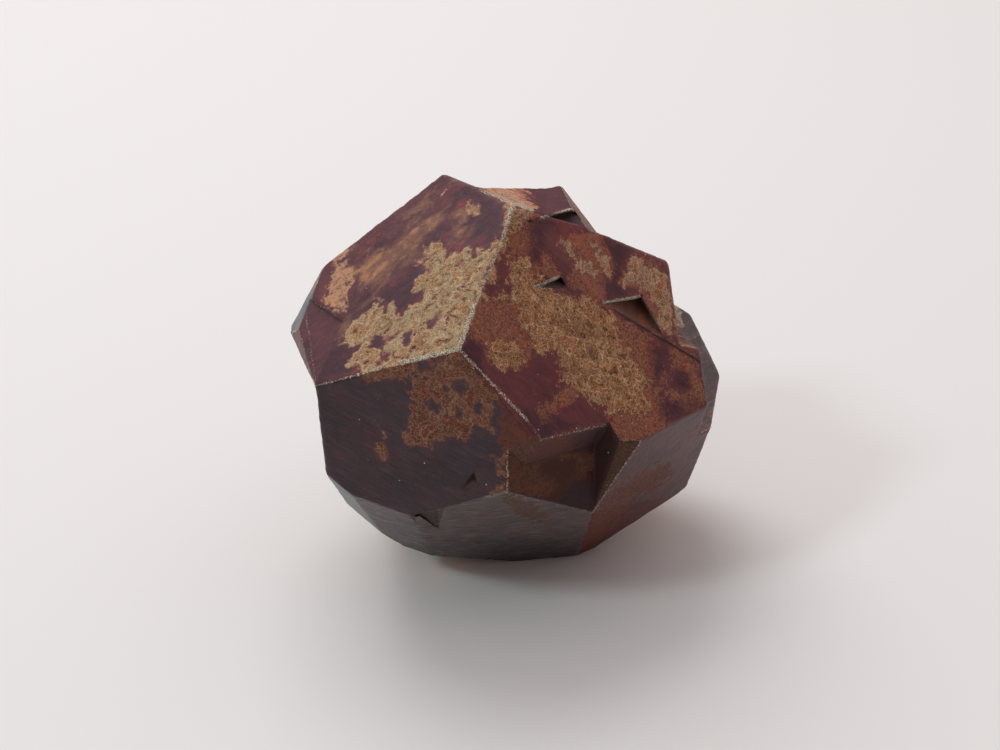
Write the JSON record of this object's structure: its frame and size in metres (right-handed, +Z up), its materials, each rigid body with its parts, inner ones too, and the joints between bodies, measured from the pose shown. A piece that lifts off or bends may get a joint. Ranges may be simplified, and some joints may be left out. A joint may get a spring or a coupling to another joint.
{
  "type": "pyrite crystal",
  "caption": "Intergrown pyritohedral pyrite crystal with pentagonal faces, stepped ledges and a tan iron-oxide crust, as a loose mineral specimen.",
  "frame": {"origin": "middle of the bottom of the bounding box, at the height of the flat patch that the crystal rests on", "axes": "+Z up, -Y towards the side with the big dark pentagonal front face, +X to the right of that side"},
  "size_m": [0.0144, 0.0136, 0.0139],
  "materials": {
    "altered_pyrite": "satin, faintly metallic purple-brown to dark grey iron-oxide skin, with patches of rough tan and ochre crust"
  },
  "bodies": {
    "root": {"pyrite_crystal": "altered_pyrite"}
  },
  "joints": []
}
